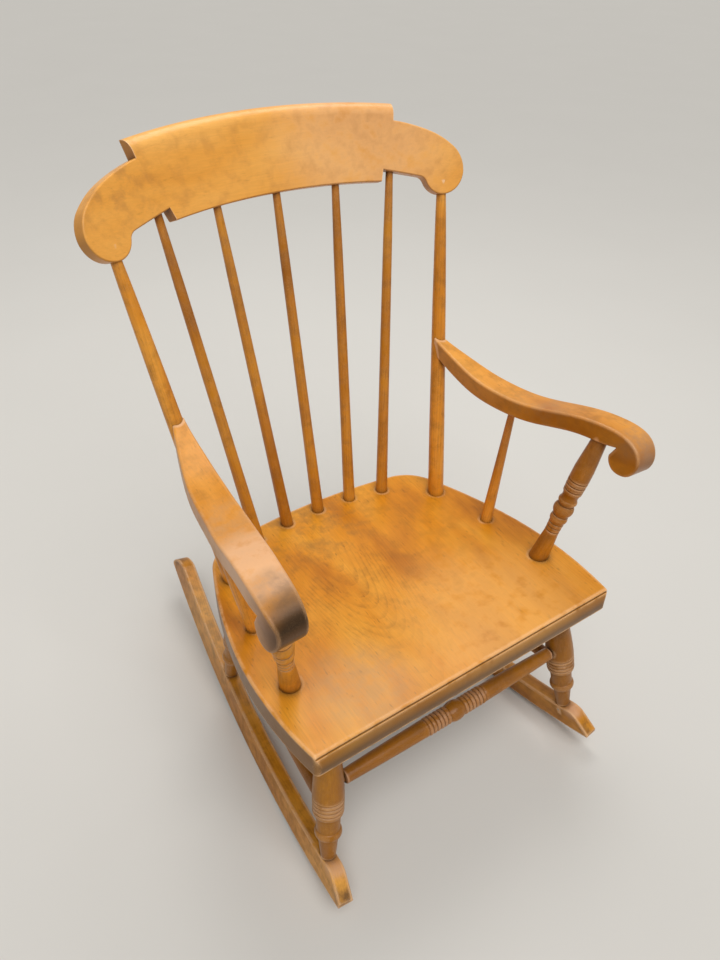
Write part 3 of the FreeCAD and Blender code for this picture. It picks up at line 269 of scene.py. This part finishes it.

    # painted shade: faces that don't look up are darkened, as if shaded from the light overhead
    if "sideShade" in look:
        tone = look["sideShade"]
        upward = addNode(tree, "ShaderNodeVectorMath", {
            0: place.outputs["Normal"], 1: (0, 0, 1)}, operation="DOT_PRODUCT")
        sideShadeShare = addNode(tree, "ShaderNodeMapRange", {
            "Value": upward.outputs["Value"],
            "From Min": tone["from"],
            "From Max": tone["to"],
            "To Max": tone["strength"]})
        colour = addNode(tree, "ShaderNodeMix", {
            "Factor": sideShadeShare.outputs[0],
            under: colour,
            over: linearColour(tone["colour"])}, data_type="RGBA").outputs[blended]

    # wear and painted highlight on the arrises and ridges, and grime and painted shade in the
    # creases and round the joints
    edge = addNode(tree, "ShaderNodeAmbientOcclusion", {
        "Distance": stain["wearAndHighlightReachMm"] / 1000}, samples=wearSamples, inside=True, only_local=True)
    edgeShare = addNode(tree, "ShaderNodeMapRange", {
        "Value": edge.outputs["AO"],
        "From Min": look["wearAndHighlightFrom"],
        "From Max": look["wearAndHighlightFrom"] - look["wearAndHighlightSpan"]})
    wearAndHighlightPatches = addNode(tree, "ShaderNodeMapRange", {
        "Value": smear.outputs["Fac"],
        "From Min": shows["wearAndHighlightPatch"][0],
        "From Max": shows["wearAndHighlightPatch"][1],
        "To Max": look["wearAndHighlightStrength"]})
    crease = addNode(tree, "ShaderNodeAmbientOcclusion", {
        "Distance": stain["creaseReachMm"] / 1000}, samples=wearSamples)
    openShare = addNode(tree, "ShaderNodeMapRange", {
        "Value": crease.outputs["AO"],
        "From Min": look["openFrom"],
        "From Max": look["openFrom"] + openSpan})
    edgeWearAndHighlight = addNode(tree, "ShaderNodeMath", {
        0: edgeShare.outputs[0], 1: wearAndHighlightPatches.outputs[0]}, operation="MULTIPLY")
    wearAndHighlightShare = addNode(tree, "ShaderNodeMath", {
        0: edgeWearAndHighlight.outputs[0], 1: openShare.outputs[0]}, operation="MULTIPLY")
    # pale arrises and ridges: wear, and also a painted highlight
    rubbedAndHighlit = addNode(tree, "ShaderNodeMix", {
        "Factor": wearAndHighlightShare.outputs[0],
        under: colour,
        over: linearColour(stain["wornEdgeAndHighlight"])}, data_type="RGBA")
    # darker creases and joints: grime, and also painted shade
    creaseShare = addNode(tree, "ShaderNodeMapRange", {
        "Value": crease.outputs["AO"],
        "From Min": shows["crease"][0],
        "From Max": shows["crease"][1],
        "To Max": look["grimeAndShadeStrength"]})
    grimyAndShaded = addNode(tree, "ShaderNodeMix", {
        "Factor": creaseShare.outputs[0],
        under: rubbedAndHighlit.outputs[blended],
        over: linearColour(stain["grimeAndShade"])}, data_type="RGBA")

    # the film's gloss and the slight relief of the grain below it
    film = addNode(tree, "ShaderNodeMapRange", {
        "Value": smear.outputs["Fac"],
        "From Min": shows["film"][0],
        "From Max": shows["film"][1],
        "To Min": look["roughness"][0],
        "To Max": look["roughness"][1]})
    roughWear = addNode(tree, "ShaderNodeMath", {
        0: wearAndHighlightShare.outputs[0], 1: duller["wearAndHighlightPatches"], 2: film.outputs[0]}, operation="MULTIPLY_ADD")
    roughDirt = addNode(tree, "ShaderNodeMath", {
        0: creaseShare.outputs[0], 1: duller["dirty"], 2: roughWear.outputs[0]},
        operation="MULTIPLY_ADD")
    relief = addNode(tree, "ShaderNodeMath", {
        0: fibre.outputs["Fac"], 1: fibreShareOfRelief, 2: rings.outputs["Fac"]},
        operation="MULTIPLY_ADD")
    bump = addNode(tree, "ShaderNodeBump", dict(grainRelief, Height=relief.outputs[0]))
    wavy = addNode(tree, "ShaderNodeBump", dict(
        figureRelief, Height=cloud.outputs["Fac"], Normal=bump.outputs[0]))
    shader = addNode(tree, "ShaderNodeBsdfPrincipled", dict(lacquerFilm, **{
        "Base Color": grimyAndShaded.outputs[blended],
        "Roughness": roughDirt.outputs[0],
        "Normal": wavy.outputs[0]}))
    addNode(tree, "ShaderNodeOutputMaterial", {"Surface": shader.outputs[0]})
    return material


# every mark below: its place in mm, radius in mm, strength, colour, and how patchy it is
# the seat is a wide plank cut near the heart: its middle shows nested arches between straight lines
seatLook = {
    "axis": (0.05, 1, -0.0175),
    "facing": (0, 0, 1),
    "pith": (0.045, -0.062, 0),
    "heartTilt": (7.0, 0.6),
    "ringMm": 2.9,
    "ringWander": 5.6,
    "ringStrength": 0.3,
    "ringStrengthFar": 0.1,
    "archesAtMm": (-45, -75, 266),
    "fibreRange": (0.9, 1.07),
    "fleckStrength": 0.45,
    "endStrength": 0.35,
    "sideShade": {"strength": 0.9, "colour": "5e3c04", "from": 0.44, "to": -0.02},
    "openFrom": 0.76,
    "wearAndHighlightFrom": 0.97,
    "wearAndHighlightSpan": 0.22,
    "wearAndHighlightStrength": 0.95,
    "grimeAndShadeStrength": 0.85,
    "roughness": (0.3, 0.42),
    "stain": {"light": "e6a034", "main": "d88918", "deep": "ba6e0c", "wornEdgeAndHighlight": "f4c088"},
    "marks": (
        ((-125, -205, 268), 85, 0.5, "c79c68", 0.2),    # painted sheen at the front left corner
        ((70, -205, 268), 160, 0.55, "f8b864", 0.1),    # paler front, a painted sheen
        ((-30, 60, 265), 100, 0.5, "99703f", 0.42),     # dark smudges in the middle
        ((-40, 60, 268), 340, 0.6, "94601c", 0.47),     # thin mottle all over
    ),
}
# the crest rail is a sawn board whose lines run from ear to ear
crestLook = {
    "axis": (1, 0, 0),
    "facing": (0, -1, 0.4),
    "pith": (0.03, -0.19, 0),
    "heartTilt": (1.0, 0.8),
    "ringMm": 4.5,
    "ringWander": 6,
    "ringStrength": 0.06,
    "fibreRange": (0.94, 1.04),
    "fleckStrength": 0.16,
    "endStrength": 0.35,
    "sideShade": {"strength": 0.4, "colour": "744608", "from": 0.2, "to": -0.1},
    "openFrom": 0.6,
    "wearAndHighlightFrom": 0.94,
    "wearAndHighlightSpan": 0.25,
    "wearAndHighlightStrength": 0.9,
    "grimeAndShadeStrength": 0.7,
    "roughness": (0.3, 0.44),
    "stain": {
        "light": "f4b45c", "main": "e8a144", "deep": "d2882c", "wornEdgeAndHighlight": "f2c697",
        "figureMm": 95, "wearAndHighlightReachMm": 1},
    "marks": (
        ((-200, 165, 715), 60, 0.5, "8f6a45", 0.5),     # grime on the left ear
        ((120, 165, 735), 150, 0.6, "efb980", 0.1),     # paler right half, a painted sheen
        ((0, 150, 720), 600, 0.5, "a8703a", 0.48),      # thin mottle all over
    ),
}
# the arms are sawn along their length and polished by hands
armLook = {
    "axis": (0, 1, 0.05),
    "facing": (0, 0, 1),
    "pith": (0.05, -0.075, 0),
    "heartTilt": (1.2, 0.8),
    "ringMm": 3.2,
    "ringWander": 4.0,
    "ringStrength": 0.06,
    "fibreRange": (0.94, 1.04),
    "fleckStrength": 0.35,
    "endStrength": 0.45,
    "sideShade": {"strength": 0.45, "colour": "744608", "from": 0.35, "to": -0.1},
    "openFrom": 0.6,
    "wearAndHighlightFrom": 0.94,
    "wearAndHighlightSpan": 0.25,
    "wearAndHighlightStrength": 0.9,
    "grimeAndShadeStrength": 0.75,
    "roughness": (0.28, 0.42),
    "stain": {"light": "e8a044", "main": "d88c2a", "deep": "b86e18", "wearAndHighlightReachMm": 3.4},
}
leftArmMarks = (
    ((-215, -40, 455), 420, 0.6, "8a5c26", 0.46),       # thin mottle all over
    ((-222, -170, 480), 75, 0.8, "f6c294", 0.1),        # rubbed pale behind the scroll, and a painted sheen
    ((-214, -90, 470), 60, 0.45, "e9b27a", 0.3),
    ((-228, -212, 482), 32, 0.6, "86664a", 0.2),        # grime where the hand rests
    ((-224, -254, 451), 58, 0.97, "2e1e0a", -0.1),      # the scroll's nose, nearly black
)
rightArmMarks = (
    ((215, -40, 455), 420, 0.65, "8a5c26", 0.45),       # thin mottle all over
    ((240, -258, 470), 40, 0.65, "95694a", 0),          # brown nose of the scroll
    ((232, -228, 474), 36, 0.6, "a8866a", 0.3),
    ((216, -100, 474), 55, 0.35, "e4ae76", 0.4),
)
# the rockers are sawn boards, scuffed at the ends and streaked along their sides
rockerLook = {
    "axis": None,  # each piece's own long direction
    "facing": (1, 0, 0),
    "pith": (0.03, -0.03, 0),
    "heartTilt": (1.2, 0.8),
    "ringMm": 3.0,
    "ringWander": 3.5,
    "ringStrength": 0.26,
    "fibreRange": (0.88, 1.08),
    "fleckStrength": 0.4,
    "endStrength": 0.5,
    "openFrom": 0.6,
    "wearAndHighlightFrom": 0.95,
    "wearAndHighlightSpan": 0.25,
    "wearAndHighlightStrength": 0.9,
    "grimeAndShadeStrength": 0.8,
    "roughness": (0.34, 0.5),
    "stain": {"light": "dc9c40", "main": "c4801c", "deep": "98590a", "wornEdgeAndHighlight": "dcb083"},
    "marks": (
        ((0, 0, 40), 1000, 0.75, "6e430c", 0.44),       # mottle on both rockers
        ((-197, -266, 60), 20, 0.7, "dba880", 0.2),     # painted highlight on the rounded tops of the noses
        ((-206, -296, 42), 20, 0.85, "5d4126", 0.2),    # dirty tips
        ((197, -266, 60), 20, 0.7, "dba880", 0.2),
        ((206, -296, 42), 20, 0.7, "6a4a2a", 0.35),
        ((-138, 292, 96), 30, 0.7, "5f4122", 0.2),      # dark ends of the tails
        ((138, 292, 96), 30, 0.7, "5f4122", 0.2),
        ((-165, 120, 55), 130, 0.45, "a88352", 0.35),   # dusty rear halves
        ((165, 120, 55), 130, 0.45, "a88352", 0.35),
    ),
}
# legs, posts, spindles and stretchers were turned from straight billets; the lower ones get a darker
# stain, which is painted shade under the seat
turnedLook = {
    "axis": None,
    "facing": (0, -1, 0),
    "pith": (0.011, -0.016, 0),
    "heartTilt": (0.9, 0.7),
    "ringMm": 3.0,
    "ringWander": 2.5,
    "ringStrength": 0.26,
    "fibreRange": (0.88, 1.08),
    "fleckStrength": 0.4,
    "endStrength": 0.25,
    "openFrom": 0.45,
    "wearAndHighlightFrom": 0.955,
    "wearAndHighlightSpan": 0.15,
    "wearAndHighlightStrength": 0.85,
    "grimeAndShadeStrength": 0.85,
    "roughness": (0.28, 0.4),
    "marks": (((0, 0, 300), 2000, 0.6, "6a4006", 0.47),),  # mottle on all of them
}
# the legs' and stretchers' darker stains are painted shade under the seat
shadedLegStain = {
    "light": "b0741a", "main": "935a0a", "deep": "6a3e02", "wornEdgeAndHighlight": "dcae82", "wearAndHighlightReachMm": 5}
postStain = {"light": "eaa43e", "main": "dc8e26", "deep": "bc7414", "wearAndHighlightReachMm": 3}
spindleStain = {"light": "ce8a26", "main": "ba7414", "deep": "925608", "wearAndHighlightReachMm": 3}
armPostStain = {"light": "d68e26", "main": "c07a14", "deep": "965a08", "wearAndHighlightReachMm": 4}
shadedStretcherStain = {
    "light": "b87820", "main": "9a5f0e", "deep": "744404", "wornEdgeAndHighlight": "d3a480", "wearAndHighlightReachMm": 4}


def lookOf(name):
    if name == "seat":
        return seatLook
    if name == "crest_rail":
        return crestLook
    if name == "left_arm":
        return dict(armLook, marks=leftArmMarks)
    if name == "right_arm":
        return dict(armLook, marks=rightArmMarks)
    if name.endswith("rocker"):
        return rockerLook
    if name.endswith("leg"):
        return dict(turnedLook, stain=shadedLegStain)
    if name.endswith("stretcher"):
        return dict(turnedLook, stain=shadedStretcherStain)
    if name.endswith("back_post") or name.endswith("arm_spindle"):
        return dict(turnedLook, stain=postStain)
    if name.endswith("arm_post"):
        return dict(turnedLook, stain=armPostStain)
    return dict(turnedLook, stain=spindleStain)  # back spindles, and the plugs over the arm screws


# bright drawn steel: a narrow highlight on grey, with a speckle of about half a millimetre
steelLook = {
    "dark": "7d7b77",
    "bright": "b5b3ad",
    "speckleMm": 0.556,
    "speckleDetail": 2,
    "roughness": (0.25, 0.45),
}


def drawnSteel(name):
    material = bpy.data.materials.new(name)
    material.use_nodes = True
    tree = material.node_tree
    tree.nodes.clear()
    place = addNode(tree, "ShaderNodeTexCoord")
    speckle = addNode(tree, "ShaderNodeTexNoise", {
        "Vector": place.outputs["Object"],
        "Scale": 1000 / steelLook["speckleMm"],
        "Detail": steelLook["speckleDetail"]})
    shade = addNode(tree, "ShaderNodeValToRGB", {"Fac": speckle.outputs["Fac"]})
    shade.color_ramp.elements[0].color = linearColour(steelLook["dark"])
    shade.color_ramp.elements[1].color = linearColour(steelLook["bright"])
    rough = addNode(tree, "ShaderNodeMapRange", {
        "Value": speckle.outputs["Fac"],
        "To Min": steelLook["roughness"][0],
        "To Max": steelLook["roughness"][1]})
    shader = addNode(tree, "ShaderNodeBsdfPrincipled", {
        "Base Color": shade.outputs["Color"], "Roughness": rough.outputs[0], "Metallic": 1.0})
    addNode(tree, "ShaderNodeOutputMaterial", {"Surface": shader.outputs[0]})
    return material


steel = drawnSteel("drawn_steel")
for name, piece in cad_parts.items():
    if name in ("arm_screws", "rocker_brads", "crest_brads"):
        finish = steel
    else:
        look = dict(lookOf(name))
        if look["axis"] is None:
            look["axis"] = longAxis(piece)
        finish = lacqueredMaple("lacquered_maple_" + name, piece, look)
    for holder in piece.material_slots:
        holder.material = finish
print("finishes laid on")


# studio: pale matte floor, one wide soft lamp overhead, a softbox behind for the sheen on the
# seat's front left and the left arm, and a pale surround
studio = {
    "floor": "d8d5cf",
    "floorCloud": "d5d2cc",
    "floorCloudMm": 333,
    "floorCloudDetail": 3,
    "floorRoughness": 0.9,
    "floorSpecular": 0.1,
    "floorHalf": 40,
    "surround": "e3e1dd",
    "surroundLevel": 0.34,
    "backdrop": "c9c6c0",
    "overheadLevel": 2.1,
    "overheadSpread": 50,
    "overheadTilt": (31, -10),
    "softboxPlace": (0.5, 0.65, 2.0),
    "softboxAim": (0.0, -0.1, 0.3),
    "softboxSize": 0.9,
    "softboxPower": 12,
}


def paleFloor():
    # matte paint: hardly any gloss, and a faint cloudiness that keeps it from looking flat
    mesh = bpy.data.meshes.new("studio_floor")
    half = studio["floorHalf"]
    corners = [(-half, -half, 0), (half, -half, 0), (half, half, 0), (-half, half, 0)]
    mesh.from_pydata(corners, [], [(0, 1, 2, 3)])
    floor = bpy.data.objects.new("studio_floor", mesh)
    bpy.context.scene.collection.objects.link(floor)
    material = bpy.data.materials.new("matte_painted_floor")
    material.use_nodes = True
    tree = material.node_tree
    shader = tree.nodes["Principled BSDF"]
    place = addNode(tree, "ShaderNodeTexCoord")
    cloud = addNode(tree, "ShaderNodeTexNoise", {
        "Vector": place.outputs["Object"],
        "Scale": 1000 / studio["floorCloudMm"],
        "Detail": studio["floorCloudDetail"]})
    tone = addNode(tree, "ShaderNodeValToRGB", {"Fac": cloud.outputs["Fac"]})
    tone.color_ramp.elements[0].color = linearColour(studio["floorCloud"])
    tone.color_ramp.elements[1].color = linearColour(studio["floor"])
    tree.links.new(tone.outputs["Color"], shader.inputs["Base Color"])
    shader.inputs["Roughness"].default_value = studio["floorRoughness"]
    shader.inputs["Specular IOR Level"].default_value = studio["floorSpecular"]
    mesh.materials.append(material)


def studioLight():
    scene = bpy.context.scene
    world = bpy.data.worlds.new("pale_surround")
    scene.world = world
    world.use_nodes = True
    # the surround lights the chair softly; eye, lacquer and steel see it as pale as the floor
    tree = world.node_tree
    tree.nodes.clear()
    lighting = addNode(tree, "ShaderNodeBackground", {
        "Color": linearColour(studio["surround"]), "Strength": studio["surroundLevel"]})
    backdrop = addNode(tree, "ShaderNodeBackground", {"Color": linearColour(studio["backdrop"])})
    ray = addNode(tree, "ShaderNodeLightPath")
    seenOrShiny = addNode(tree, "ShaderNodeMath", {
        0: ray.outputs["Is Camera Ray"], 1: ray.outputs["Is Glossy Ray"]}, operation="MAXIMUM")
    seen = addNode(tree, "ShaderNodeMath", {
        0: seenOrShiny.outputs[0], 1: ray.outputs["Is Transmission Ray"]}, operation="MAXIMUM")
    both = addNode(tree, "ShaderNodeMixShader", {
        0: seen.outputs[0], 1: lighting.outputs[0], 2: backdrop.outputs[0]})
    addNode(tree, "ShaderNodeOutputWorld", {"Surface": both.outputs[0]})
    overhead = bpy.data.lights.new("overhead", "SUN")
    overhead.energy = studio["overheadLevel"]
    overhead.angle = math.radians(studio["overheadSpread"])
    lamp = bpy.data.objects.new("overhead", overhead)
    lamp.rotation_euler = [math.radians(angle) for angle in studio["overheadTilt"]] + [0]
    scene.collection.objects.link(lamp)
    softbox = bpy.data.lights.new("softbox", "AREA")
    softbox.size = studio["softboxSize"]
    softbox.energy = studio["softboxPower"]
    panel = bpy.data.objects.new("softbox", softbox)
    panel.location = studio["softboxPlace"]
    aim = Vector(studio["softboxAim"]) - Vector(studio["softboxPlace"])
    panel.rotation_euler = aim.to_track_quat("-Z", "Y").to_euler()
    scene.collection.objects.link(panel)


# the photograph looks down at the chair from above its front left corner
photoCamera = {
    "place": (-0.45926, -0.64951, 0.9737),
    "turnDegrees": (52.744, -1.529, -34.798),
    "lensMm": 29.965,
    "sensorMm": 36,
}


def aimCamera():
    camera = bpy.data.cameras.new("photo_camera")
    camera.lens = photoCamera["lensMm"]
    camera.sensor_width = photoCamera["sensorMm"]
    holder = bpy.data.objects.new("photo_camera", camera)
    holder.location = photoCamera["place"]
    turn = [math.radians(angle) for angle in photoCamera["turnDegrees"]]
    holder.rotation_euler = Euler(turn, "XYZ")
    bpy.context.scene.collection.objects.link(holder)
    bpy.context.scene.camera = holder


paleFloor()
studioLight()
aimCamera()
bpy.context.scene.view_settings.view_transform = "Standard"
print("studio ready")
